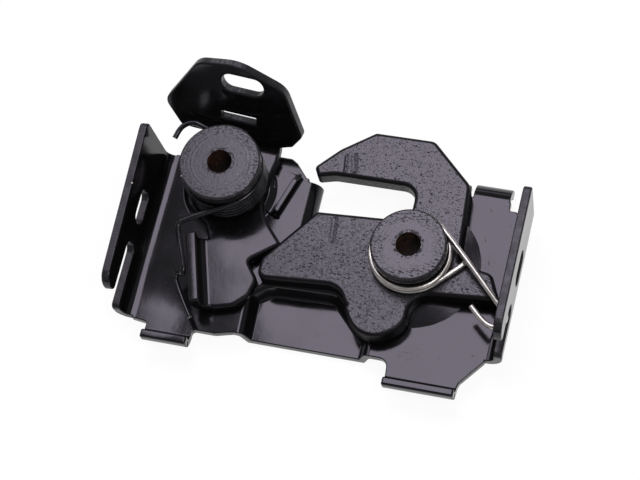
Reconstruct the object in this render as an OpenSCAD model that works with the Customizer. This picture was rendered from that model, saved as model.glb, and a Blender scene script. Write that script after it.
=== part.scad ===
/* [Back plate] */
// Thickness of the back plate sheet
sheet_t = 2.5; // [2:0.1:3]
// Inside radius of the side flange folds
flange_fold_r = 2.5; // [1.5:0.1:3.5]
// Inside radius of the top lip fold, which turns back behind the plate
lip_fold_r = 3; // [2:0.1:3]
// Inside radius of the tab and throat folds
tab_fold_r = 1.5; // [1:0.1:2]
// Depth of the pressed rest pad behind the plate
pad_depth = 4.5; // [3.5:0.1:6]
// Height of the round seats pressed up under the claw and the pawl
seat_h = 1; // [0.5:0.1:1.5]
// Distance from the claw axis to the left fold
left_fold_x = 75.8; // [74:0.1:81]
// Distance from the claw axis to the right fold
right_fold_x = 25.5; // [25:0.1:32]
// Distance from the claw axis to the rolled left edge of the striker throat
throat_left_x = 31.4; // [30:0.1:32]
// Height of the bottom tabs above the plate
tab_h = 3.6; // [3:0.1:6]
// Height of the pawl stop above the plate
stop_h = 2.4; // [2:0.1:3]

/* [Flanges] */
// Height of the left flange along its slope
left_flange_h = 17.9; // [16:0.1:24]
// Outward lean of the left flange
left_flange_lean = 10; // [0:1:25]
// Loss of height of the left flange towards its lower end
left_flange_taper = 2.5; // [0:0.1:3]
// Height of the right flange
right_flange_h = 17; // [16:0.1:24]
// Width of the flange slots
flange_slot_w = 5; // [4.6:0.1:6]
// Width of the flange strip between its fold and the slots
flange_base_w = 2.5; // [2.2:0.1:3.5]
// Length of the closed flange slots
closed_slot_len = 10.4; // [8:0.1:11]

/* [Claw] */
// Thickness of the claw
claw_t = 5.2; // [4:0.1:7]
// Width of the striker slot in the claw
striker_slot_w = 10.4; // [9:0.1:11]

/* [Pawl] */
// Distance of the pawl axis to the left of the claw axis
pawl_dx = 57.2; // [56.5:0.1:58.5]
// Height of the pawl axis above the claw axis
pawl_dy = 13.8; // [13:0.1:14.6]
// Thickness of the pawl sheet
pawl_t = 3; // [2:0.1:3.5]
// Inside radius of the pawl folds
pawl_fold_r = 2.2; // [1.5:0.1:3]
// Outward lean of the release tongue
tongue_lean = 25; // [10:1:35]
// Length of the release eye
eye_len = 12.8; // [10:0.1:14]
// Width of the release eye
eye_w = 6; // [5.9:0.1:7]
// Height of the spring wall above the pawl
wall_h = 5.8; // [4:0.1:7]

/* [Bushes] */
// Bolt bore of both bushes
bore_d = 7; // [6:0.1:9]
// Journal diameter that the claw and the pawl turn on
journal_d = 16; // [14:0.1:17]
// Diameter of the riveted shank in the plate
shank_d = 12; // [11:0.1:13]
// Diameter of the spring drum under each head
drum_d = 18; // [17.2:0.1:19]
// Diameter of the claw bush head
claw_head_d = 21.4; // [20.5:0.1:23]
// Diameter of the pawl bush head
pawl_head_d = 23.3; // [21:0.1:25]
// Thickness of the bush heads
head_t = 3.2; // [2:0.1:4]

/* [Springs] */
// Wire diameter of both springs
wire_d = 1.6; // [1.2:0.1:1.8]
// Mean coil diameter of both springs
coil_d = 22.1; // [21.5:0.1:22.6]
// Gap between neighbouring coils
coil_gap = 0.1; // [0.05:0.05:0.3]

/* [Fits] */
// Radial running clearance on the journals
run_fit = 0.05; // [0.02:0.01:0.1]
// End clearance between moving faces
end_gap = 0.15; // [0.1:0.01:0.3]

/* [Hidden] */
$fn = 64;

coat = [0.05, 0.05, 0.055];
steel = [0.72, 0.71, 0.69];

// Heights above the mounting plane
plate_back = pad_depth;
plate_front = plate_back + sheet_t;
seat_top = plate_front + seat_h;
claw_low = seat_top + end_gap;
claw_top = claw_low + claw_t;
pawl_low = seat_top + end_gap;
pawl_top = pawl_low + pawl_t;

arc_steps = 6;
cut = 1;

// Facets of a fold, its lap into the flat sheet, where its leg starts to widen, and the sheet's step beside its ends
fold_steps = 8;
fold_lap = 0.3;
fold_cover = fold_lap / 2;
leg_start = fold_lap / 2;
fold_step = 0.4;

function unit(v) = v / norm(v);

// Points of the corner b, rounded with radius r, between its neighbours a and c
function corner(a, b, c, r) =
    let (
        u = unit(a - b),
        v = unit(c - b),
        half = acos(u * v) / 2,
        middle = b + unit(u + v) * r / sin(half),
        from = b + u * r / tan(half) - middle,
        to = b + v * r / tan(half) - middle,
        start = atan2(from.y, from.x),
        sweep = (atan2(to.y, to.x) - start + 540) % 360 - 180
    )
    [for (i = [0:arc_steps]) middle + r * [cos(start + sweep * i / arc_steps), sin(start + sweep * i / arc_steps)]];

// Outline through corners given as [x, y, radius]
function rounded(points) =
    let (n = len(points), at = [for (p = points) [p.x, p.y]])
    [for (i = [0:n - 1]) each points[i].z > 0
        ? corner(at[(i + n - 1) % n], at[i], at[(i + 1) % n], points[i].z)
        : [at[i]]];

// Fold of a sheet whose front face is z = 0, from x = 0 on, and the leg behind it, cut to the outline in children
module fold(length, angle, r, t, leg) {
    reach = 15;
    turns = [for (i = [0:fold_steps]) angle * i / fold_steps];
    along = (leg + cut) * [cos(angle), sin(angle)];
    outer = [for (a = turns) [0, r] + (r + t) * [sin(a), -cos(a)]];
    inner = [for (a = turns) [0, r] + r * [sin(a), -cos(a)]];
    intersection() {
        translate([0, length + reach, 0]) rotate([90, 0, 0]) linear_extrude(length + 2 * reach)
            polygon(concat(
                [[-fold_lap, -t]], outer, [outer[fold_steps] + along, inner[fold_steps] + along],
                [for (i = [fold_steps:-1:0]) inner[i]], [[-fold_lap, 0]]
            ));
        translate([0, 0, r]) rotate([0, -angle, 0]) translate([0, 0, -r - t - cut]) linear_extrude(r + t + 3 * cut) {
            translate([-r - t - cut, 0]) square([r + t + cut + fold_lap, length]);
            children();
        }
    }
}

// Slot with round ends along y from its middle
module slot_2d(length, width) {
    square([width, length - width], center = true);
    for (side = [-1, 1]) translate([0, side * (length - width) / 2]) circle(d = width);
}

// Ends of each side flange along y: base strip, slotted strip, top at the fold, top at the free edge
left_y = [-29.2, -26.2, 21.6, 23.2];
right_y = [-24.4, -22, 20.5, 22.5];
closed_slot_y = 1.2;
open_slot_end_y = -9.9;
slot_mouth_r = 1.5;
left_angle = 90 - left_flange_lean;
left_leg = left_flange_h - flange_fold_r * tan(left_angle / 2);
right_leg = right_flange_h - flange_fold_r;

// Leg of a side flange, with a closed slot and a slot that opens at its lower end
module flange_leg(leg, taper, ends) {
    slot_far = flange_base_w + flange_slot_w;
    slot_r = flange_slot_w / 2 - 0.02;
    strip_w = leg - taper - slot_far;
    mouth_r = strip_w * 0.26;
    end_r = strip_w * 0.7;
    difference() {
        polygon(rounded([
            [leg_start, ends[0], 0], [flange_base_w, ends[0], slot_mouth_r],
            [flange_base_w, open_slot_end_y, slot_r], [slot_far, open_slot_end_y, slot_r],
            [slot_far, ends[1], mouth_r], [leg - taper, ends[1], end_r],
            [leg, ends[3], slot_mouth_r], [leg_start, ends[2], 0]
        ]));
        translate([flange_base_w + flange_slot_w / 2, closed_slot_y]) slot_2d(closed_slot_len, flange_slot_w);
    }
}

lip_x = [12.1, right_fold_x - 2.8];
lip_y = 23.6;
lip_leg = 0.4;
tab_left_x = [4.8 - left_fold_x, -57.5];
tab_left_y = -32;
tab_right_x = [-0.8, right_fold_x - 6];
tab_right_y = -33.5;
low_edge_y = -28.9;
low_left_y = -30.2;
throat_low_y = 8;
roll_y = [3, 20];
roll_x = throat_left_x + tab_fold_r + sheet_t;
relief = 1;

module plate_outline() {
    polygon(rounded([
        [fold_cover - left_fold_x, left_y[0] - fold_step, 0], [fold_cover - left_fold_x, left_y[2] + fold_step, 0],
        [5.8 - left_fold_x, left_y[2] + fold_step, 3],
        [9.6 - left_fold_x, pawl_dy + 13, 6], [-roll_x - 6.4, pawl_dy + 12.6, 1.5],
        [-roll_x - 4.6, roll_y[1] + 5.2, 2], [-roll_x - 0.8, roll_y[1] + relief, 0.8],
        [-roll_x, roll_y[1] + relief, 0], [-roll_x, roll_y[0] - relief, 0.8],
        [-7, throat_low_y, 5], [-1.5, 13.5, 4], [6.5, lip_y + 4.8, 2], [lip_x[0] - relief, lip_y + 3, 0.4],
        [lip_x[0] - relief, lip_y - fold_cover, 0], [lip_x[1] + fold_step, lip_y - fold_cover, 0],
        [lip_x[1] + fold_step, right_y[2] + fold_step, 0.6],
        [right_fold_x - fold_cover, right_y[2] + fold_step, 0], [right_fold_x - fold_cover, right_y[0] - fold_step, 0],
        [tab_right_x[1] + 0.4, tab_right_y + 1.6, 2], [tab_right_x[1], tab_right_y, 0],
        [tab_right_x[0], tab_right_y, 0], [tab_right_x[0] - 0.4, low_edge_y, 2.5],
        [-46, low_edge_y, 3], [-51, low_left_y, 3], [tab_left_x[1], low_left_y, 1],
        [tab_left_x[1], tab_left_y, 0], [tab_left_x[0], tab_left_y, 0],
        [tab_left_x[0], left_y[0] - relief, 0.8]
    ]));
}

pad_slope = 2.4;
pad_wall = 1.3;
pad_left_x = -40.8;
pad_right_x = -9.8;
pad_top_y = -13.8;
pad_foot_y = -40;

// Outline of the rest pad, grown by its sloped wall
module pad_outline(grow) {
    polygon([
        [pad_left_x - grow, pad_foot_y], [pad_left_x - 1 - grow, pad_top_y - 3.8 + grow / 2],
        [pad_left_x + 3.2 - grow / 2, pad_top_y - 0.8 + grow], [-20.4 + grow / 3, pad_top_y + grow],
        [pad_right_x + grow, pad_top_y - 10.8 + grow / 3], [pad_right_x + grow, pad_foot_y]
    ]);
}

// Pad hollow or its raised back, between two heights
module pad_form(low, high, grow_low, grow_high) {
    skin = 0.01;
    hull() {
        translate([0, 0, low]) linear_extrude(skin) pad_outline(grow_low);
        translate([0, 0, high - skin]) linear_extrude(skin) pad_outline(grow_high);
    }
}

// Low wall bent up beside the pawl neck, from its lower end
stop_foot = [-40.9, 7.3];
stop_turn = 17.6;
stop_len = 13.8;
stop_trim = [2, 0.8];
stop_t = 1.6;
stop_fold_r = 0.8;

module stop_wall() {
    translate([stop_foot.x, stop_foot.y, plate_front]) rotate([0, 0, 180 - stop_turn]) translate([0, -stop_len, 0])
        fold(stop_len, 90, stop_fold_r, stop_t, stop_h)
            polygon(rounded([
                [leg_start, 0, 0], [stop_h - stop_fold_r, stop_trim[0], 0.6],
                [stop_h - stop_fold_r, stop_len - stop_trim[1], 0.6], [leg_start, stop_len, 0]
            ]));
}

// Seats of the claw and the pawl as domes: axis, radius of the flat top, radius at the plate
claw_seat_r = 19;
claw_seat_top_r = 12.6;
pawl_seat_r = 13.2;
pawl_seat_top_r = 12;
seats = [[0, 0, claw_seat_top_r, claw_seat_r], [-pawl_dx, pawl_dy, pawl_seat_top_r, pawl_seat_r]];
seat_lap = 0.5;

module back_plate() color(coat) {
    difference() {
        union() {
            translate([0, 0, plate_back]) linear_extrude(sheet_t) plate_outline();
            intersection() {
                translate([0, 0, plate_back]) linear_extrude(sheet_t + seat_h) plate_outline();
                for (seat = seats) translate([seat.x, seat.y, plate_front - seat_lap])
                    let (flare = (seat[3] - seat[2]) / seat_h)
                        cylinder(r1 = seat[3] + flare * seat_lap, r2 = seat[2], h = seat_h + seat_lap);
            }
            intersection() {
                pad_form(0, plate_back + sheet_t / 2, pad_wall, pad_slope + pad_wall);
                linear_extrude(plate_front) plate_outline();
            }
        }
        pad_form(sheet_t, plate_front + cut, 0, pad_slope);
        for (seat = seats) translate([seat.x, seat.y, -cut]) cylinder(d = shank_d, h = seat_top + 2 * cut);
    }
    translate([right_fold_x, right_y[0], plate_front])
        fold(right_y[2] - right_y[0], 90, flange_fold_r, sheet_t, right_leg)
            translate([0, -right_y[0]]) flange_leg(right_leg, 0, right_y);
    mirror([1, 0, 0]) translate([left_fold_x, left_y[0], plate_front])
        fold(left_y[2] - left_y[0], left_angle, flange_fold_r, sheet_t, left_leg)
            translate([0, -left_y[0]]) flange_leg(left_leg, left_flange_taper, left_y);
    translate([lip_x[1], lip_y, plate_back]) mirror([0, 0, 1]) rotate([0, 0, 90])
        fold(lip_x[1] - lip_x[0], 90, lip_fold_r, sheet_t, lip_leg) square([lip_leg, lip_x[1] - lip_x[0]]);
    for (tab = [[tab_left_x, tab_left_y], [tab_right_x, tab_right_y]])
        translate([tab[0][0], tab[1], plate_front]) rotate([0, 0, -90])
            fold(tab[0][1] - tab[0][0], 90, tab_fold_r, sheet_t, tab_h)
                square([tab_h - tab_fold_r, tab[0][1] - tab[0][0]]);
    translate([-roll_x, roll_y[0], plate_back]) mirror([0, 0, 1])
        fold(roll_y[1] - roll_y[0], 90, tab_fold_r, sheet_t, plate_back)
            square([(plate_back - tab_fold_r) / 4, roll_y[1] - roll_y[0]]);
    stop_wall();
}

// Corners of the claw: catch tooth from the pawl axis, striker slot, upper jaw, tail and lower lobe
slot_root = [-3, 10.6];
claw_step = [13.6, 0.4];
claw_outline = [
    [27.8 - pawl_dx, pawl_dy - 4.9, 1.5], [slot_root.x, slot_root.y, 4],
    [slot_root.x, slot_root.y + striker_slot_w, 4], [slot_root.x - 24, slot_root.y + striker_slot_w - 0.2, 8],
    [-31.8, slot_root.y + striker_slot_w - 1.5, 1], [-33.3, slot_root.y + striker_slot_w + 1.4, 1.2],
    [-27.2, 29, 10], [-18.2, 35.7, 1.5], [-1, 35.9, 3], [11.9, 24, 4], [claw_step.x, claw_step.y, 1.5],
    [claw_step.x + 9.6, claw_step.y - 1.5, 3], [claw_step.x + 13.2, claw_step.y - 9.1, 1.2], [2.2, -10.9, 6],
    [2.9, -25, 3], [-3, -26.7, 3], [-19.4, -12.2, 6], [15.2 - pawl_dx, pawl_dy - 27.7, 2.5],
    [15.5 - pawl_dx, pawl_dy - 21.4, 2]
];

module claw() color(coat) translate([0, 0, claw_low]) linear_extrude(claw_t) difference() {
    polygon(rounded(claw_outline));
    circle(d = journal_d + 2 * run_fit);
}

// Coil heights, which set the height of the spring drums
wire_pitch = wire_d + coil_gap;
claw_coil_turns = 1.75;
pawl_coil_turns = 4.37;
claw_drum_spare = 0.7;
pawl_drum_spare = 2.46;
claw_drum_h = claw_coil_turns * wire_pitch + wire_d + claw_drum_spare;
pawl_drum_h = pawl_coil_turns * wire_pitch + wire_d + pawl_drum_spare;
claw_drum_low = claw_top + end_gap;
pawl_drum_low = pawl_top + end_gap;

// Turned bush with a head, a spring drum, a journal, a shank through the plate and a rear collar
module bush(head_d, drum_low, drum_h) {
    collar_d = journal_d;
    bevel = 0.4;
    head_low = drum_low + drum_h;
    top = head_low + head_t;
    rotate_extrude() polygon([
        [bore_d / 2, 0], [collar_d / 2 - bevel, 0], [collar_d / 2, bevel],
        [collar_d / 2, plate_back], [shank_d / 2, plate_back], [shank_d / 2, seat_top],
        [journal_d / 2, seat_top], [journal_d / 2, drum_low], [drum_d / 2, drum_low],
        [drum_d / 2, head_low], [head_d / 2, head_low], [head_d / 2, top - bevel],
        [head_d / 2 - bevel, top], [bore_d / 2, top]
    ]);
}

module claw_bush() color(coat) bush(claw_head_d, claw_drum_low, claw_drum_h);

module pawl_bush() color(coat) translate([-pawl_dx, pawl_dy, 0]) bush(pawl_head_d, pawl_drum_low, pawl_drum_h);

// Places of the pawl folds, from the pawl axis
tongue_turn = -4.6;
tongue_y = 11.4;
tongue_root = [-11.6, 11.4];
wall_turn = 17;
wall_foot = [1.2, -27.7];
wall_len = 21;
wall_along = [sin(wall_turn), -cos(wall_turn)];
wall_low = wall_foot + wall_len / 2 * wall_along;

wall_corners = [for (side = [1, -1])
    wall_foot + side * (wall_len / 2 + fold_step) * wall_along + fold_cover * [cos(wall_turn), sin(wall_turn)]];

function turned(p, a) = [p.x * cos(a) - p.y * sin(a), p.x * sin(a) + p.y * cos(a)];

tongue_left = turned([tongue_root[0] - fold_step, tongue_y - fold_cover], tongue_turn);
tongue_right = turned([tongue_root[1] + fold_step, tongue_y - fold_cover], tongue_turn);

// Corners of the flat pawl: neck, tooth, notch, lower lobe, spring wall and the side under the spring
pawl_outline = [
    [tongue_right.x, tongue_right.y, 0], [9.9, -5.2, 14], [19.6, -15.8, 0.8], [11.4, -22.2, 1.2],
    [15.4, -27.4, 3], [14.2, -32.6, 3], [10.4, -36.4, 4],
    [wall_corners[0].x, wall_corners[0].y, 0], [wall_corners[1].x, wall_corners[1].y, 0],
    [-3.4, -13.6, 2], [-11, -8, 5], [-11.9, 6, 5], [tongue_left.x, tongue_left.y, 0]
];

// Corners of the release tongue, along its height and across
tongue_h = 27;
tongue_outline = [
    [leg_start, tongue_root[0], 0], [0.4, -18.8, 2], [8.6, -23.8, 3.5], [25, -13.4, 5], [tongue_h, -1.5, 14],
    [21.4, 12.8, 6], [6, 18.2, 2], [1.6, 15.2, 1], [leg_start, tongue_root[1], 0]
];
eye_at = [20.2, 0.2];
slit_at = [8, -1.2];
slit = [2.4, 10.8];

module pawl() color(coat) translate([-pawl_dx, pawl_dy, pawl_low]) {
    linear_extrude(pawl_t) difference() {
        polygon(rounded(pawl_outline));
        circle(d = journal_d + 2 * run_fit);
    }
    translate([0, 0, pawl_t]) rotate([0, 0, tongue_turn]) translate([tongue_root[1], tongue_y, 0])
        rotate([0, 0, 90]) fold(tongue_root[1] - tongue_root[0], 90 - tongue_lean, pawl_fold_r, pawl_t, tongue_h)
            translate([0, tongue_root[1]]) mirror([0, 1]) difference() {
                polygon(rounded(tongue_outline));
                translate(eye_at) slot_2d(eye_len, eye_w);
                translate(slit_at) square(slit, center = true);
            }
    translate([wall_low.x, wall_low.y, pawl_t]) rotate([0, 0, 180 + wall_turn]) translate([0, -wall_len, 0])
        fold(wall_len, 90, pawl_fold_r, pawl_t, wall_h) square([wall_h - pawl_fold_r, wall_len]);
}

// Round wire swept along a path of points
module wire(path) {
    sides = 8;
    n = len(path);
    tangents = [for (i = [0:n - 1]) unit(path[min(i + 1, n - 1)] - path[max(i - 1, 0)])];
    rings = [for (i = [0:n - 1])
        let (side = unit(cross(tangents[i], [0.05, 0.03, 1])), up = cross(side, tangents[i]))
        for (k = [0:sides - 1])
            path[i] + wire_d / 2 * (cos(360 * k / sides) * side + sin(360 * k / sides) * up)];
    skin = [for (i = [0:n - 2], k = [0:sides - 1])
        [i * sides + k, i * sides + (k + 1) % sides, (i + 1) * sides + (k + 1) % sides, (i + 1) * sides + k]];
    ends = [[for (k = [sides - 1:-1:0]) k], [for (k = [0:sides - 1]) (n - 1) * sides + k]];
    polyhedron(rings, concat(skin, ends));
}

// Helix points of a coil that starts at an angle and height and winds down
function coil(from, turns, z) =
    let (steps = ceil(turns * 24))
    [for (i = [0:steps]) let (q = from + turns * 360 * i / steps)
        [coil_d / 2 * cos(q), coil_d / 2 * sin(q), z - wire_pitch * turns * i / steps]];

// Points of the claw spring's hook in the flange slot, from the flange's inner face, and its end over the claw step
claw_coil_from = 45;
claw_hook = [
    [-8.4, -12.1, 0], [-5.2, -15.1, 0], [-2.6, -16.9, 0], [-0.4, -17.1, 0], [1.2, -15.8, 0], [1.8, -13.8, 0],
    [0.8, -12.2, 0.4], [-1.4, -10.2, 1]
];
claw_end = [[0.6, -1.8, 0], [1.5, -0.6, 0], [1.8, 0.5, -0.4], [1.9, 1, -1.6], [1.9, 1, -4.5]];

// Spring of the claw: hooked through the open slot of the right flange and over the step of the claw
module claw_spring() color(steel) {
    top = claw_drum_low + claw_drum_h - claw_drum_spare / 2 - wire_d / 2;
    low = top - wire_pitch * claw_coil_turns;
    hook_x = right_fold_x + flange_fold_r;
    hook_z = plate_front + flange_fold_r + flange_base_w + flange_slot_w / 2;
    leg_bend = [coil_d / 2 * 1.54, -coil_d * 0.04, top - wire_d / 5];
    wire(concat(
        [for (p = claw_hook) p + [hook_x, 0, hook_z]],
        [leg_bend],
        coil(claw_coil_from, claw_coil_turns, top),
        [for (p = claw_end) p + [claw_step.x, claw_step.y, low]]
    ));
}

// Points of the pawl spring's leg along the spring wall, out from its face and up from its top, and its flange hook
pawl_coil_from = -63;
pawl_leg = [
    [13.84, 0.5, -4], [6.87, 2.76, -3.4], [1.9, 3.96, -2.8], [0.5, 3.1, -2.2], [1.53, 1.75, -1.4], [1.52, 1.12, -0.6],
    [-1.58, 1.01, 0], [-11.7, 1.9, 1.6], [-12.9, 1.1, 2], [-13.3, -0.28, 2.2]
];
pawl_hook = [[7.2, 4.9, 0], [5.6, 5.2, 0], [3.8, 4.6, 0], [2, 3, -0.4], [1, -0.2, -1]];

// Place beside the spring wall: along it and out from its outer face
function beside_wall(along, out) =
    wall_foot + along * wall_along - (pawl_fold_r + pawl_t + out) * [cos(wall_turn), sin(wall_turn)];

// Spring of the pawl: one leg behind the spring wall, the other hooked past the top of the left flange
module pawl_spring() color(coat) translate([-pawl_dx, pawl_dy, 0]) {
    top = pawl_drum_low + pawl_drum_h - pawl_drum_spare + 0.8 - wire_d / 2;
    wall_z = pawl_top + wall_h;
    flange_end = [pawl_dx - left_fold_x, left_y[3] - pawl_dy, wall_z];
    wire(concat(
        [for (p = pawl_leg) let (q = beside_wall(p[0], p[1])) [q.x, q.y, wall_z + p[2]]],
        coil(pawl_coil_from, pawl_coil_turns, top),
        [for (p = pawl_hook) flange_end + p]
    ));
}

back_plate();
claw();
claw_bush();
claw_spring();
pawl();
pawl_bush();
pawl_spring();
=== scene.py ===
"""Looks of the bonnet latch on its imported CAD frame: rounded edges, wire springs, coat and wear."""

import math

import bmesh
import bpy
from mathutils import Matrix, Vector


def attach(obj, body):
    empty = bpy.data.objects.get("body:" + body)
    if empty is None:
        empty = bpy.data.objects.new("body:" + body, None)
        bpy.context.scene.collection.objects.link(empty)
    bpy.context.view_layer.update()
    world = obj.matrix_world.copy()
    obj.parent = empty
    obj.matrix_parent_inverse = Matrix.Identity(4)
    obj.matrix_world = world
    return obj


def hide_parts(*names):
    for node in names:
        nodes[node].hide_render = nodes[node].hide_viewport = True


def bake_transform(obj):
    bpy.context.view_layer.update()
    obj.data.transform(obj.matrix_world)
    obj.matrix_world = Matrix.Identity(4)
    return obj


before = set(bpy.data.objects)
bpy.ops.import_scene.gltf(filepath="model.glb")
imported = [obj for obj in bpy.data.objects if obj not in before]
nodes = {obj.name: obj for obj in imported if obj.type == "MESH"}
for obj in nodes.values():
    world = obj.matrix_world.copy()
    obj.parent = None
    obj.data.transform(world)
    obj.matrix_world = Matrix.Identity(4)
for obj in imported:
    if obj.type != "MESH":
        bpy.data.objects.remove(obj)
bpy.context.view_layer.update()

# Sizes and places are in millimetres, as in the CAD source, and MM turns them into metres
MM = 0.001
ORIGIN = Vector((0.0, 0.0, 0.0))
PAWL_AXIS = Vector((-57.2, 13.8, 0.0))
PLATE_FRONT = 7.0
CLAW_TOP = 13.35
PAWL_TOP = 11.15
CLAW_HEAD_R = 10.7
PAWL_HEAD_R = 11.65
BORE_REACH = 4.0
TONGUE_LEAN = math.radians(25)
TONGUE_TURN = math.radians(4.6)
FLANGE_LEAN = math.radians(10)


# Node helpers

COOL_GLOSS = (0.96, 0.90, 1.0, 1.0)
CLEAR_GLOSS = (1.0, 1.0, 1.0, 1.0)
BARE_STEEL = (0.80, 0.74, 0.66, 1.0)
MIX_A, MIX_B, MIX_COLOUR = 6, 7, 2


class Nodes:
    """Adds shader nodes to one material and links them."""

    def __init__(self, material):
        material.use_nodes = True
        self.tree = material.node_tree
        self.tree.nodes.clear()
        self.output = self.tree.nodes.new("ShaderNodeOutputMaterial")

    def add(self, kind, **sockets):
        node = self.tree.nodes.new(kind)
        for name, value in sockets.items():
            self.put(node.inputs[name.replace("_", " ")], value)
        return node

    def put(self, socket, value):
        if isinstance(value, bpy.types.NodeSocket):
            self.tree.links.new(value, socket)
        else:
            socket.default_value = value

    def math(self, operation, a, b=0.0):
        node = self.tree.nodes.new("ShaderNodeMath")
        node.operation = operation
        self.put(node.inputs[0], a)
        self.put(node.inputs[1], b)
        return node.outputs[0]

    def place(self, scale=(1, 1, 1), turn=(0, 0, 0)):
        """Coordinates of the piece in millimetres, scaled and turned."""
        where = self.tree.nodes.new("ShaderNodeTexCoord").outputs["Object"]
        mapping = self.tree.nodes.new("ShaderNodeMapping")
        self.put(mapping.inputs["Vector"], where)
        mapping.inputs["Rotation"].default_value = turn
        mapping.inputs["Scale"].default_value = [s / MM for s in scale]
        return mapping.outputs["Vector"]

    def noise(self, vector, scale, detail=3.0, rough=0.55):
        node = self.add("ShaderNodeTexNoise", Vector=vector, Scale=scale, Detail=detail, Roughness=rough)
        return node.outputs["Fac"]

    def ramp(self, value, low, high, to_low=0.0, to_high=1.0):
        """Maps low..high to to_low..to_high smoothly, and holds beyond."""
        node = self.tree.nodes.new("ShaderNodeMapRange")
        node.interpolation_type = "SMOOTHSTEP"
        self.put(node.inputs["Value"], value)
        for name, number in (("From Min", low), ("From Max", high), ("To Min", to_low), ("To Max", to_high)):
            self.put(node.inputs[name], number)
        return node.outputs["Result"]

    def mix(self, share, a, b):
        node = self.tree.nodes.new("ShaderNodeMix")
        node.data_type = "RGBA"
        self.put(node.inputs["Factor"], share)
        self.put(node.inputs[MIX_A], a)
        self.put(node.inputs[MIX_B], b)
        return node.outputs[MIX_COLOUR]

    def bump(self, height, strength, distance, normal=None):
        node = self.add("ShaderNodeBump", Height=height, Strength=strength, Distance=distance * MM)
        if normal is not None:
            self.put(node.inputs["Normal"], normal)
        return node.outputs["Normal"]

    def surface(self, tint=COOL_GLOSS, **sockets):
        """Principled shader of the material, with the tint of its gloss."""
        shader = self.add("ShaderNodeBsdfPrincipled", Specular_Tint=tint, **sockets)
        self.tree.links.new(shader.outputs["BSDF"], self.output.inputs["Surface"])


def grey(level):
    """Coat colour of a level, slightly purple."""
    return (level, level * 0.97, level * 1.06, 1.0)


def flecks(n, size, stretch, turn, level, soft=0.05):
    """Short dark dashes of about a size in millimetres, longer along one direction."""
    field = n.noise(n.place(scale=(1 / stretch, 1, 1), turn=(0, 0, turn)), 1 / size, 4.0, 0.62)
    return n.ramp(field, level, level + soft)


def hairlines(n, size, width, share, spread=6.0):
    """Thin wandering cracks that come and go in patches."""
    field = n.noise(n.place(), 1 / size, 1.5, 0.5)
    patches = n.noise(n.place(), 1 / spread, 2.0)
    lines = n.ramp(n.math("ABSOLUTE", n.math("SUBTRACT", field, 0.5)), 0.0, width, 1.0, 0.0)
    return n.math("MULTIPLY", lines, n.ramp(patches, 1 - share, 1.06 - share))


def scratches(n, turn, width, share):
    """Thin straight marks that run along one direction of the flat faces."""
    lines = n.noise(n.place(scale=(0.05, 1.0, 0.05), turn=(0, 0, turn)), 2.6, 2.0)
    patches = n.noise(n.place(), 0.11, 2.0)
    marks = n.ramp(n.math("ABSOLUTE", n.math("SUBTRACT", lines, 0.5)), 0.0, width, 1.0, 0.0)
    return n.math("MULTIPLY", marks, n.ramp(patches, 1 - share, 1 - share + 0.08))


def distance(n, centre, flat=True):
    """Distance in millimetres from a point, or from an upright axis through it."""
    offset = n.tree.nodes.new("ShaderNodeVectorMath")
    offset.operation = "MULTIPLY_ADD"
    n.put(offset.inputs[0], n.place())
    offset.inputs[1].default_value = (1, 1, 0 if flat else 1)
    offset.inputs[2].default_value = (-centre[0], -centre[1], 0 if flat else -centre[2])
    length = n.tree.nodes.new("ShaderNodeVectorMath")
    length.operation = "LENGTH"
    n.put(length.inputs[0], offset.outputs[0])
    return length.outputs["Value"]


def stroke(n, start, end, width):
    """Share 1 along a straight line from start to end, in millimetres, fading softly over its width."""
    along = Vector(end) - Vector(start)
    middle = (Vector(start) + Vector(end)) / 2
    mapping = n.tree.nodes.new("ShaderNodeMapping")
    mapping.vector_type = "TEXTURE"
    n.put(mapping.inputs["Vector"], n.place())
    mapping.inputs["Location"].default_value = (middle.x, middle.y, 0)
    mapping.inputs["Rotation"].default_value = (0, 0, math.atan2(along.y, along.x))
    parts = n.add("ShaderNodeSeparateXYZ", Vector=mapping.outputs["Vector"])
    across = n.ramp(n.math("ABSOLUTE", parts.outputs["Y"]), 0.0, width, 1.0, 0.0)
    fade = min(1.5, along.length / 3)
    half = along.length / 2
    inside = n.ramp(n.math("ABSOLUTE", parts.outputs["X"]), half - fade, half, 1.0, 0.0)
    return n.math("MULTIPLY", across, inside)


def chipped(n, colour, spots):
    """Colour with the coat chipped down to bare steel at spots of (x, y, z, radius)."""
    for spot in spots:
        fray = n.math("MULTIPLY", n.noise(n.place(), 2.0, 3.0), 0.5)
        ragged = n.math("ADD", distance(n, spot, flat=False), fray)
        radius = spot[3]
        colour = n.mix(n.ramp(ragged, radius + 0.15, radius + 0.3, 1.0, 0.0), colour, BARE_STEEL)
    return colour


# Materials

# A chip is a place and a radius, a scratch or press mark is a start, an end and a width,
# and the lighter patch of the tongue edge is an x and half a length
FLANGE_CHIP = (-80.9, 4.1, 23.6, 0.3)
SCRATCHES = (
    ((18.0, 11.7), (18.6, 9.9), 0.16),
    ((20.4, 5.3), (21.0, 3.1), 0.16),
    ((17.6, 20.7), (18.5, 19.3), 0.16),
    ((21.4, -24.3), (22.4, -23.2), 0.18),
    ((-46.8, -7.2), (-44.8, -10.1), 0.14),
    ((-45.4, -10.6), (-44.1, -8.8), 0.14),
)
PRESS_MARKS = (
    ((-24.1, 21.0), (-25.0, 28.0), 0.8),
    ((-21.5, 21.5), (-23.2, 28.8), 1.4),
    ((-24.0, 8.6), (-23.1, -0.5), 1.3),
)
CLAW_BUSH_CHIPS = ((-5.9, -4.1, 22.0, 0.12), (10.5, -0.7, 21.8, 0.15), (-10.6, 4.4, 21.8, 0.15))
PAWL_BUSH_CHIPS = (
    (-66.9, 7.7, 25.7, 0.3),
    (-55.8, 19.0, 26.0, 0.12),
    (-51.0, 10.7, 26.0, 0.12),
    (-50.4, 4.4, 25.8, 0.12),
)
TONGUE_LIGHT_PATCH = (-60.0, 6.5)


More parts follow.
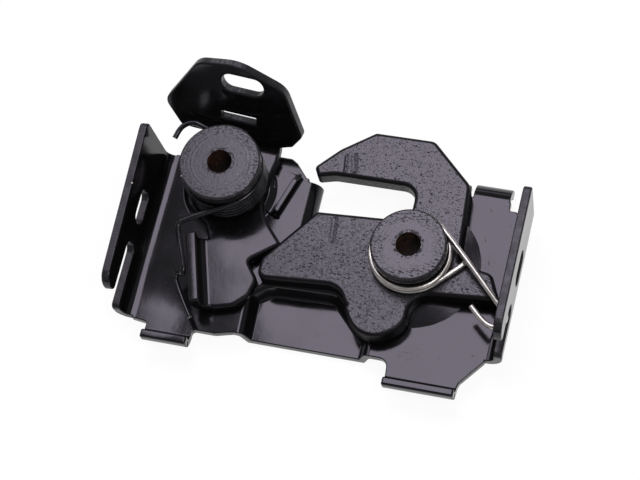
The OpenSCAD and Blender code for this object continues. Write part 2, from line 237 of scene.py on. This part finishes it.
def springback(n):
    """Height in millimetres of the plate beside the left fold, where the sheet is slightly bowed."""
    parts = n.add("ShaderNodeSeparateXYZ", Vector=n.place())
    x, y = parts.outputs["X"], parts.outputs["Y"]
    rise = n.ramp(x, -74.4, -78.0, 0.0, 0.3)
    sag = n.math("MULTIPLY", n.ramp(x, -80.0, -60.0, 0.0, 0.5), n.ramp(y, -26.0, -13.0, -0.9, 1.0))
    return n.math("ADD", rise, n.math("MULTIPLY", sag, n.ramp(x, -56.0, -34.0, 1.0, 0.0)))


def gloss_coat(name, bowed=False):
    """Gloss black dip coat on pressed sheet: slightly wavy, with a faint orange peel, dust and rubbed marks."""
    material = bpy.data.materials.new(name)
    n = Nodes(material)
    place = n.place()
    wave = n.noise(place, 0.045, 1.0)
    peel = n.noise(place, 0.5, 2.0)
    cloud = n.noise(place, 0.09, 3.0)
    dust = n.ramp(n.noise(place, 1.6, 3.0, 0.7), 0.68, 0.74)
    marks = n.math("MAXIMUM", flecks(n, 0.8, 2.5, 0.9, 0.70), scratches(n, 0.5, 0.010, 0.36))
    for start, end, width in SCRATCHES:
        marks = n.math("MAXIMUM", marks, stroke(n, start, end, width))
    worn = n.math("MAXIMUM", n.math("MULTIPLY", dust, 0.5), marks)
    rough = n.math("ADD", n.ramp(cloud, 0.3, 0.7, 0.10, 0.16), n.math("MULTIPLY", worn, 0.4))
    colour = chipped(n, n.mix(n.math("MULTIPLY", dust, 0.4), grey(0.0055), grey(0.03)), (FLANGE_CHIP,))
    broad = n.bump(wave, 1.0, 0.3)
    if bowed:
        broad = n.bump(springback(n), 1.0, 1.0, broad)
    normal = n.bump(peel, 0.1, 0.1, broad)
    n.surface(Base_Color=colour, Roughness=rough, Specular_IOR_Level=0.44, Normal=normal)
    return material


def sheared_edge(name, stretch, patch=None):
    """Coated sheared edge with fine striations across the sheet, lighter at a patch."""
    material = bpy.data.materials.new(name)
    n = Nodes(material)
    lines = n.noise(n.place(scale=stretch), 2.6, 3.0, 0.7)
    cloud = n.noise(n.place(), 0.3, 3.0)
    shade = n.math("MULTIPLY", n.ramp(lines, 0.32, 0.66), n.ramp(cloud, 0.25, 0.5))
    light = grey(0.03)
    if patch is not None:
        parts = n.add("ShaderNodeSeparateXYZ", Vector=n.place())
        away = n.math("ABSOLUTE", n.math("SUBTRACT", parts.outputs["X"], patch[0]))
        light = n.mix(n.ramp(away, patch[1] * 0.5, patch[1], 1.0, 0.0), grey(0.012), grey(0.13))
    colour = chipped(n, n.mix(shade, grey(0.008), light), (FLANGE_CHIP,))
    rough = n.ramp(cloud, 0.3, 0.7, 0.42, 0.30)
    n.surface(Base_Color=colour, Roughness=rough, Normal=n.bump(lines, 0.35, 0.10))
    return material


def rolled_coat():
    """Thin matt coat on rolled-over and blanked edges, with a fine grain that glints."""
    material = bpy.data.materials.new("rolled_edge_coat")
    n = Nodes(material)
    grain = n.noise(n.place(), 1.8, 3.0, 0.7)
    rough = n.ramp(grain, 0.35, 0.65, 0.50, 0.28)
    normal = n.bump(grain, 0.5, 0.14)
    n.surface(Base_Color=grey(0.006), Roughness=rough, Specular_IOR_Level=0.22, Normal=normal)
    return material


def blanked_coat():
    """Satin coat on the thick blanked claw: flecked and cracked, with more dark flecks low down that are partly
    painted shade, duller low down, and with press marks.
    """
    material = bpy.data.materials.new("claw_coat")
    n = Nodes(material)
    place = n.place()
    grain = n.noise(place, 1.3, 4.0, 0.65)
    fine = n.math("MAXIMUM", flecks(n, 0.34, 1.5, 0.5, 0.605), flecks(n, 0.7, 2.6, 0.35, 0.625))
    along_y = n.add("ShaderNodeSeparateXYZ", Vector=place).outputs["Y"]
    # More dark flecks towards the bottom of the claw: partly real flecking, partly painted shade of the darker
    # surroundings low down
    lower = n.math("MULTIPLY", flecks(n, 0.5, 2.0, 0.6, 0.59), n.ramp(along_y, 14.0, -6.0, 0.0, 0.6))
    fine = n.math("MAXIMUM", fine, lower)
    cracks = n.math("MAXIMUM", hairlines(n, 6.0, 0.006, 0.42), hairlines(n, 2.4, 0.016, 0.44, 1.6))
    dark = n.math("MAXIMUM", fine, cracks)
    height = n.math("SUBTRACT", n.math("MULTIPLY", grain, 0.5), n.math("MULTIPLY", dark, 0.5))
    for start, end, width in PRESS_MARKS:
        height = n.math("SUBTRACT", height, n.math("MULTIPLY", stroke(n, start, end, width), 2.2))
    rough = n.math("ADD", n.ramp(grain, 0.3, 0.7, 0.15, 0.25), n.math("MULTIPLY", dark, 0.5))
    rough = n.math("ADD", rough, n.ramp(along_y, 16.0, -10.0, 0.0, 0.06))
    colour = n.mix(dark, grey(0.018), grey(0.004))
    n.surface(Base_Color=colour, Roughness=rough, Normal=n.bump(height, 0.5, 0.17))
    return material


def turned_coat(name, axis, head_r, ring_depth, spots):
    """Satin coat on a turned bush: faint turning rings, scuffs that gather at the rim, a few chips."""
    material = bpy.data.materials.new(name)
    n = Nodes(material)
    grain = n.noise(n.place(), 1.1, 4.0, 0.65)
    away = distance(n, axis)
    turning = n.add("ShaderNodeTexNoise", Scale=1.7, Detail=3.0)
    turning.noise_dimensions = "1D"
    n.put(turning.inputs["W"], away)
    uneven = n.math("ADD", away, n.math("MULTIPLY", n.noise(n.place(), 0.2, 2.0), 8.0))
    rim = n.ramp(uneven, head_r * 0.95, head_r * 1.3)
    scuffs = n.math("MULTIPLY", flecks(n, 0.5, 2.0, 0.4, 0.53, 0.08), rim)
    mouth = n.math("MULTIPLY", flecks(n, 0.8, 1.0, 0.0, 0.5, 0.05), n.ramp(away, 3.9, 4.7, 1.0, 0.0))
    dark = n.math("MAXIMUM", n.math("MAXIMUM", scuffs, mouth), flecks(n, 0.38, 2.0, -0.4, 0.645))
    rings = n.math("MULTIPLY", turning.outputs["Fac"], ring_depth)
    height = n.math("ADD", n.math("MULTIPLY", grain, 0.4), rings)
    height = n.math("SUBTRACT", height, n.math("MULTIPLY", dark, 0.6))
    rough = n.math("ADD", n.ramp(grain, 0.3, 0.7, 0.15, 0.22), n.math("MULTIPLY", dark, 0.45))
    colour = chipped(n, n.mix(dark, grey(0.024), grey(0.005)), spots)
    n.surface(Base_Color=colour, Roughness=rough, Normal=n.bump(height, 0.4, 0.11))
    return material


def rusty_bore():
    """Bare bore wall with brown rust and a few bright specks that are painted glints."""
    material = bpy.data.materials.new("rusty_bore")
    n = Nodes(material)
    patch = n.noise(n.place(), 0.35, 5.0, 0.65)
    # Bright specks are painted glints in the bore
    bright = n.ramp(n.noise(n.place(), 1.2, 3.0, 0.6), 0.66, 0.72)
    rust = n.mix(n.ramp(patch, 0.36, 0.62), (0.008, 0.005, 0.004, 1), (0.075, 0.028, 0.011, 1))
    colour = n.mix(bright, rust, (0.45, 0.38, 0.32, 1))
    n.surface(Base_Color=colour, Roughness=0.75, Specular_IOR_Level=0.2, Normal=n.bump(patch, 0.6, 0.25))
    return material


def bright_wire():
    """Drawn spring steel, slightly clouded."""
    material = bpy.data.materials.new("bright_spring_wire")
    n = Nodes(material)
    cloud = n.noise(n.place(), 0.35, 3.0)
    tone = n.mix(n.ramp(cloud, 0.35, 0.7), (0.60, 0.56, 0.52, 1), (0.76, 0.73, 0.70, 1))
    rough = n.ramp(cloud, 0.3, 0.7, 0.30, 0.40)
    n.surface(Base_Color=tone, Metallic=1.0, Roughness=rough, tint=CLEAR_GLOSS)
    return material


def black_wire():
    """Black coated spring wire, rubbed along its length."""
    material = bpy.data.materials.new("black_spring_wire")
    n = Nodes(material)
    cloud = n.noise(n.place(), 0.5, 4.0)
    colour = n.mix(n.ramp(cloud, 0.5, 0.75), grey(0.006), grey(0.02))
    rough = n.ramp(cloud, 0.3, 0.7, 0.16, 0.28)
    n.surface(Base_Color=colour, Roughness=rough, Normal=n.bump(cloud, 0.15, 0.06))
    return material


coat = gloss_coat("gloss_black_coat")
plate_coat = gloss_coat("plate_coat", bowed=True)
flange_edge = sheared_edge("sheared_flange_edge", (0.1, 1.0, 0.1))
tongue_edge = sheared_edge("sheared_tongue_edge", (1.0, 0.1, 0.1), TONGUE_LIGHT_PATCH)
upright_edge = sheared_edge("sheared_upright_edge", (1.0, 1.0, 0.1))
claw_coat = blanked_coat()
rim_coat = rolled_coat()
claw_bush_coat = turned_coat("claw_bush_coat", ORIGIN, CLAW_HEAD_R, 0.9, CLAW_BUSH_CHIPS)
pawl_bush_coat = turned_coat("pawl_bush_coat", PAWL_AXIS, PAWL_HEAD_R, 0.35, PAWL_BUSH_CHIPS)
bore_rust = rusty_bore()
steel_wire = bright_wire()
coated_wire = black_wire()


# Rounded copies of the CAD pieces

SHARP = math.radians(28)
SAME_PLANE = math.radians(0.6)
SAME_POINT = 2e-6
FLAT_WEIGHT = 90
LARGEST_ROUNDING = 1.5
ROUNDING = {
    "pad_mouth": 1.5, "pad_floor": 0.5, "tab": 0.65, "flange": 0.45, "seat": 0.8, "sheet": 0.32,
    "pawl_front": 1.0, "pawl": 0.5, "claw_front": 1.1, "claw": 0.4, "bore": 0.08, "bush": 0.22,
}

# Regions of the plate and the pawl
LEFT_FLANGE_X, RIGHT_FLANGE_X, FLANGE_FOOT = -76.5, 26.0, 9.5
LEFT_FOLD_X, RIGHT_FOLD_X, FOLD_TOP = -74.0, 24.0, PLATE_FRONT + 2
PAD_X, PAD_Y, PAD_MIDDLE = (-47, -4), (-28.5, -9), PLATE_FRONT - 3.5
TAB_Y = -30.5
SEAT_X, SEAT_REACH = -73, 20.5
CLAW_SEAT = (12.6, 19.0)
CLAW_HUB_R = 9.0
TONGUE_Y, NECK_Y = 22, 14

# Lower lobe of the claw: a circle that widens to its right foot, with a filled neck, and the sides to cut up
LOBE_CENTRE = Vector((-6.6, -17.2))
LOBE_R = 8.1
LOBE_FOOT_R = 9.2
LOBE_FOOT_ANGLE = 60
LOBE_END_ANGLE = -2
LOBE_REACH = 12
LOBE_NECK = Vector((-14.5, -16.6))
LOBE_NECK_R = 3.6
LOBE_NECK_FILL = Vector((-0.95, -0.55))
LOBE_SIDES = (
    (((-17.5, -13.88), (-4.23, -25.61)), 11),
    (((-1.42, -26.24), (0.62, -25.66)), 2),
    (((2.78, -22.63), (2.49, -16.66)), 5),
)


def rounded_copy(node, body, materials, pick, rounding, steps=3, crisp=None, rim=-1, reshape=None):
    """Copy of a CAD node with sharp edges rounded, crisp ones kept and its faces sorted among the materials."""
    mesh = bpy.data.meshes.new(node + "_skin")
    shape = bmesh.new()
    shape.from_mesh(nodes[node].data)
    bmesh.ops.remove_doubles(shape, verts=shape.verts, dist=SAME_POINT)
    bmesh.ops.dissolve_limit(shape, angle_limit=SAME_PLANE, verts=shape.verts, edges=shape.edges)
    if reshape is not None:
        reshape(shape)
    weight = shape.edges.layers.float.new("bevel_weight_edge")
    for edge in shape.edges:
        if len(edge.link_faces) == 2 and edge.calc_face_angle() > SHARP:
            middle = (edge.verts[0].co + edge.verts[1].co) / 2 / MM
            edge[weight] = rounding(middle) / LARGEST_ROUNDING
        elif crisp is not None:
            edge.smooth = not crisp([v.co / MM for v in edge.verts])
    for face in shape.faces:
        face.smooth = True
        face.material_index = pick(face.calc_center_median() / MM, face.normal)
    shape.to_mesh(mesh)
    shape.free()
    for material in materials:
        mesh.materials.append(material)
    piece = bpy.data.objects.new(node + "_skin", mesh)
    bpy.context.scene.collection.objects.link(piece)
    bevel = piece.modifiers.new("rounding", "BEVEL")
    bevel.limit_method = "WEIGHT"
    bevel.width = LARGEST_ROUNDING * MM
    bevel.segments = steps
    bevel.material = rim
    bevel.use_clamp_overlap = False
    flats = piece.modifiers.new("flat_faces", "WEIGHTED_NORMAL")
    flats.weight = FLAT_WEIGHT
    flats.keep_sharp = True
    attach(piece, body)
    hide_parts(node)
    return piece


def plate_face(middle, normal):
    """Sheared edges of the flanges are material 1."""
    out_left = Vector((-math.sin(FLANGE_LEAN), 0, math.cos(FLANGE_LEAN)))
    if middle.z <= FLANGE_FOOT:
        return 0
    if middle.x < LEFT_FLANGE_X:
        return 1 if abs(normal.dot(out_left)) > 0.7 else 0
    return 1 if middle.x > RIGHT_FLANGE_X and abs(normal.z) > 0.7 else 0


def seat_rim(ends):
    """The low cone under the claw keeps its two crisp rims."""
    low = PLATE_FRONT - 0.1
    return any(all(abs(p.xy.length - r) < 0.1 and p.z > low for p in ends) for r in CLAW_SEAT)


def plate_rounding(middle):
    """The pressed pad and the seats have soft edges, the sheet's own edges are sharper."""
    inside_pad = PAD_X[0] < middle.x < PAD_X[1] and PAD_Y[0] < middle.y < PAD_Y[1]
    if inside_pad and middle.z < PLATE_FRONT + 0.1:
        return ROUNDING["pad_mouth" if middle.z > PAD_MIDDLE else "pad_floor"]
    if middle.z > PLATE_FRONT + 0.5 and middle.y < TAB_Y:
        return ROUNDING["tab"]
    if middle.z > FOLD_TOP and (middle.x < LEFT_FOLD_X or middle.x > RIGHT_FOLD_X):
        return ROUNDING["flange"]
    seat_height = PLATE_FRONT - 0.1 < middle.z < PLATE_FRONT + 1.1 and middle.x > SEAT_X
    to_axis = min(middle.xy.length, (middle - PAWL_AXIS).xy.length)
    return ROUNDING["seat" if seat_height and to_axis < SEAT_REACH else "sheet"]


def pawl_face(middle, normal):
    """Sheared edges of the tongue are material 1, the edge of the upper neck 2."""
    across = Vector((math.sin(TONGUE_TURN), math.cos(TONGUE_TURN), 0))
    flat = across * math.cos(TONGUE_LEAN) - Vector((0, 0, math.sin(TONGUE_LEAN)))
    if middle.z > PAWL_TOP + 3 and middle.y > TONGUE_Y:
        return 1 if abs(normal.dot(flat)) < 0.5 else 0
    on_neck = middle.z < PAWL_TOP and middle.y > NECK_Y
    return 2 if on_neck and abs(normal.z) < 0.3 and normal.x > 0.7 else 0


def pawl_rounding(middle):
    """The outline of the flat pawl is rolled over at its front."""
    return ROUNDING["pawl_front" if abs(middle.z - PAWL_TOP) < 0.05 else "pawl"]


def claw_face(middle, normal):
    """The walls of the claw are material 1."""
    return 0 if abs(normal.z) > 0.5 else 1


def claw_rounding(middle):
    """The outline of the claw is rolled over at its front."""
    on_front = middle.z > CLAW_TOP - 0.1 and middle.xy.length > CLAW_HUB_R
    return ROUNDING["claw_front" if on_front else "claw"]


def round_lobe(shape):
    """Draws the outline of the claw's lower lobe to a round end and fills its neck."""
    for ends, cuts in LOBE_SIDES:
        sides = [
            edge for edge in shape.edges
            if all(min((v.co.xy / MM - Vector(c)).length for v in edge.verts) < 0.15 for c in ends)
        ]
        bmesh.ops.subdivide_edges(shape, edges=sides, cuts=cuts)
    for vert in shape.verts:
        away = vert.co.xy / MM - LOBE_CENTRE
        angle = math.degrees(math.atan2(away.y, away.x))
        if away.length < LOBE_REACH and angle < LOBE_END_ANGLE:
            blend = max(0.0, 1 + angle / LOBE_FOOT_ANGLE)
            radius = LOBE_R + (LOBE_FOOT_R - LOBE_R) * blend * blend * (3 - 2 * blend)
            vert.co.x, vert.co.y = (LOBE_CENTRE + away.normalized() * radius) * MM
        near = 1 - (vert.co.xy / MM - LOBE_NECK).length / LOBE_NECK_R
        if near > 0:
            vert.co.x, vert.co.y = vert.co.xy + LOBE_NECK_FILL * near * MM


def bush_face(axis):
    """The bore wall is material 1."""
    def pick(middle, normal):
        return 1 if (middle - axis).xy.length < BORE_REACH and abs(normal.z) < 0.5 else 0
    return pick


def bush_rounding(axis):
    """The bore keeps a crisp rim."""
    return lambda middle: ROUNDING["bore" if (middle - axis).xy.length < BORE_REACH else "bush"]


plate = rounded_copy(
    "back_plate", "base", (plate_coat, flange_edge), plate_face, plate_rounding, crisp=seat_rim
)
claw = rounded_copy(
    "claw", "claw", (claw_coat, rim_coat), claw_face, claw_rounding, 4, rim=1, reshape=round_lobe
)
pawl = rounded_copy(
    "pawl", "pawl", (coat, tongue_edge, upright_edge, rim_coat), pawl_face, pawl_rounding, rim=3
)
claw_bush = rounded_copy(
    "claw_bush", "base", (claw_bush_coat, bore_rust), bush_face(ORIGIN), bush_rounding(ORIGIN)
)
pawl_bush = rounded_copy(
    "pawl_bush", "base", (pawl_bush_coat, bore_rust), bush_face(PAWL_AXIS), bush_rounding(PAWL_AXIS)
)


# Springs

WIRE_R = 0.8
WIRE_PITCH = 1.7
WIRE_SIDE = Vector((0.05, 0.03, 1))
COIL_R = 11.05
COIL_STEPS = 48


def coil(start, turns, top):
    """Points of a coil that starts at an angle in degrees and winds down."""
    steps = math.ceil(turns * COIL_STEPS)
    return [
        Vector((COIL_R * math.cos(q), COIL_R * math.sin(q), top - WIRE_PITCH * turns * i / steps))
        for i in range(steps + 1)
        for q in [math.radians(start + turns * 360 * i / steps)]
    ]


def eased(points, passes=2):
    """Corner-cut open line, for smooth bends; it keeps its two ends."""
    for _ in range(passes):
        cut = [points[0]]
        for a, b in zip(points, points[1:]):
            cut += [a.lerp(b, 0.25), a.lerp(b, 0.75)]
        points = cut + [points[-1]]
    return points


def wire(name, points, material, sides=16):
    """Round wire along points in millimetres, with flat cut ends."""
    shape = bmesh.new()
    rings = []
    side = None
    last = len(points) - 1
    for i, p in enumerate(points):
        along = (points[min(i + 1, last)] - points[max(i - 1, 0)]).normalized()
        side = along.cross(WIRE_SIDE) if side is None else side - along * side.dot(along)
        side.normalize()
        up = along.cross(side)
        rings.append([
            shape.verts.new((p + WIRE_R * (math.cos(a) * side + math.sin(a) * up)) * MM)
            for a in (2 * math.pi * k / sides for k in range(sides))
        ])
    for a, b in zip(rings, rings[1:]):
        for k in range(sides):
            shape.faces.new((a[k], a[(k + 1) % sides], b[(k + 1) % sides], b[k]))
    shape.faces.new(rings[0][::-1])
    shape.faces.new(rings[-1])
    for face in shape.faces:
        face.smooth = len(face.verts) == 4
    mesh = bpy.data.meshes.new(name)
    shape.to_mesh(mesh)
    shape.free()
    mesh.materials.append(material)
    piece = bpy.data.objects.new(name, mesh)
    bpy.context.scene.collection.objects.link(piece)
    return piece


CLAW_STEP = Vector((13.6, 0.4, 0))
CLAW_COIL_TOP = 17.625
CLAW_TURNS = 1.75
HOOK = Vector((28.0, 0, 14.6))
CLAW_HOOK = (
    (-8.4, -12.1, 0), (-5.2, -15.1, 0), (-2.6, -16.9, 0), (-0.4, -17.1, 0), (1.2, -15.8, 0),
    (1.8, -13.8, 0), (0.8, -12.2, 0.4), (-1.4, -10.2, 1),
)
CLAW_END = ((0.6, -1.8, 0), (1.5, -0.6, 0), (1.8, 0.5, -0.4), (1.9, 1, -1.6), (1.9, 1, -4.5))
claw_low = Vector((0, 0, CLAW_COIL_TOP - WIRE_PITCH * CLAW_TURNS))
claw_path = (
    [HOOK + Vector(p) for p in CLAW_HOOK]
    + [Vector((COIL_R * 1.54, -COIL_R * 0.08, CLAW_COIL_TOP - 0.32))]
    + coil(45, CLAW_TURNS, CLAW_COIL_TOP)
    + [CLAW_STEP + claw_low + Vector(p) for p in CLAW_END]
)
claw_spring = wire("claw_spring_wire", eased(claw_path), steel_wire)
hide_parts("claw_spring")
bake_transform(claw_spring)

WALL_TURN = math.radians(17)
WALL_FOOT = PAWL_AXIS + Vector((1.2, -27.7, 0))
WALL_FACE = 5.2
WALL_TOP = 16.95
PAWL_COIL_TOP = 20.329
PAWL_TURNS = 4.37
PAWL_LEG = (
    (13.84, 0.5, -4), (6.87, 2.76, -3.4), (1.9, 3.96, -2.8), (0.5, 3.1, -2.2), (1.53, 1.75, -1.4),
    (1.52, 1.12, -0.6), (-1.58, 1.01, 0), (-11.7, 1.9, 1.6), (-12.9, 1.1, 2), (-13.3, -0.28, 2.2),
)
PAWL_HOOK = ((7.2, 4.9, 0), (5.6, 5.2, 0), (3.8, 4.6, 0), (2, 3, -0.4), (1, -0.2, -1))
FLANGE_END = Vector((-75.8, 23.2, WALL_TOP))


def beside_wall(along, out, up):
    """Place along the spring wall of the pawl, out from its face and up from its top."""
    run = Vector((math.sin(WALL_TURN), -math.cos(WALL_TURN), 0))
    away = Vector((math.cos(WALL_TURN), math.sin(WALL_TURN), 0))
    return WALL_FOOT + run * along - away * (WALL_FACE + out) + Vector((0, 0, WALL_TOP + up))


pawl_path = (
    [beside_wall(*p) for p in PAWL_LEG]
    + [PAWL_AXIS + p for p in coil(-63, PAWL_TURNS, PAWL_COIL_TOP)]
    + [FLANGE_END + Vector(p) for p in PAWL_HOOK]
)
pawl_spring = wire("pawl_spring_wire", eased(pawl_path), coated_wire)
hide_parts("pawl_spring")
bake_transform(pawl_spring)


# Studio, in metres

COOL = (1.03, 1.0, 1.11)
NEUTRAL = (1.0, 1.0, 1.0)
LAMP_AIM = Vector((-0.025, 0, 0.01))
LAMPS = (
    ("overhead_softbox", (-0.095, 0.31, 0.80), (0.37, 0.44), 2.3, COOL),
    ("left_softbox", (-0.58, 0.33, 0.66), (0.36, 0.36), 0.9, COOL),
    ("back_softbox", (-0.21, 0.87, 0.32), (0.22, 0.18), 0.12, COOL),
    ("front_key", (0.45, -0.15, 0.95), (0.25, 0.25), 2.1, NEUTRAL),
)
WORLD_COLOUR = (0.93, 0.94, 0.96, 1.0)
WORLD_STRENGTH = 0.22
FLOOR_HALF = 4.0
FLOOR_DROP = 0.0003
FLOOR_COLOUR = (0.95, 0.95, 0.95, 1.0)
FLOOR_GLOW = 1.06
FLOOR_GLOW_SHARE = 0.88


def area_lamp(name, at, size, power, colour):
    """Soft box that faces the latch."""
    lamp = bpy.data.lights.new(name, "AREA")
    lamp.shape = "RECTANGLE"
    lamp.size, lamp.size_y = size
    lamp.energy = power
    lamp.color = colour
    rig = bpy.data.objects.new(name, lamp)
    rig.location = at
    rig.rotation_mode = "QUATERNION"
    rig.rotation_quaternion = (LAMP_AIM - Vector(at)).to_track_quat("-Z", "Y")
    bpy.context.scene.collection.objects.link(rig)


for lamp_row in LAMPS:
    area_lamp(*lamp_row)

world = bpy.data.worlds.new("studio")
bpy.context.scene.world = world
world.use_nodes = True
background = world.node_tree.nodes["Background"]
background.inputs["Color"].default_value = WORLD_COLOUR
background.inputs["Strength"].default_value = WORLD_STRENGTH

floor_mesh = bpy.data.meshes.new("floor")
corners = [(x * FLOOR_HALF, y * FLOOR_HALF, 0) for x, y in ((-1, -1), (1, -1), (1, 1), (-1, 1))]
floor_mesh.from_pydata(corners, [], [(0, 1, 2, 3)])
floor = bpy.data.objects.new("floor", floor_mesh)
floor.location.z = -FLOOR_DROP
bpy.context.scene.collection.objects.link(floor)


def white_floor():
    """Pale floor that the camera and mirror-like faces see as nearly white, and that keeps a soft shadow."""
    material = bpy.data.materials.new("white_floor")
    n = Nodes(material)
    path = n.tree.nodes.new("ShaderNodeLightPath")
    seen = n.math("MAXIMUM", path.outputs["Is Camera Ray"], path.outputs["Is Glossy Ray"])
    seen = n.math("MAXIMUM", seen, path.outputs["Is Transmission Ray"])
    matt = n.add("ShaderNodeBsdfDiffuse", Color=FLOOR_COLOUR)
    glow = n.add("ShaderNodeEmission", Color=(1, 1, 1, 1), Strength=FLOOR_GLOW)
    mix = n.add("ShaderNodeMixShader", Fac=n.math("MULTIPLY", seen, FLOOR_GLOW_SHARE))
    n.tree.links.new(matt.outputs[0], mix.inputs[1])
    n.tree.links.new(glow.outputs[0], mix.inputs[2])
    n.tree.links.new(mix.outputs[0], n.output.inputs["Surface"])
    return material


floor_mesh.materials.append(white_floor())


# Camera fitted to the photograph, whose frame is 640 by 480

CAMERA_AT = Vector((118.2, -239.8, 625.9)) * MM
RIGHT = Vector((0.96356, 0.22934, -0.13767))
UP = Vector((-0.15947, 0.90575, 0.39269))
BACK = Vector((0.21476, -0.35642, 0.90931))
SENSOR_WIDTH = 36.0
LENS = 135.0
camera = bpy.data.objects.new("camera", bpy.data.cameras.new("camera"))
camera.data.sensor_width = SENSOR_WIDTH
camera.data.lens = LENS
camera.data.clip_start = 0.01
camera.data.clip_end = 20.0
camera.matrix_world = Matrix.Translation(CAMERA_AT) @ Matrix((RIGHT, UP, BACK)).transposed().to_4x4()
bpy.context.scene.collection.objects.link(camera)
bpy.context.scene.camera = camera
bpy.context.scene.view_settings.view_transform = "Standard"
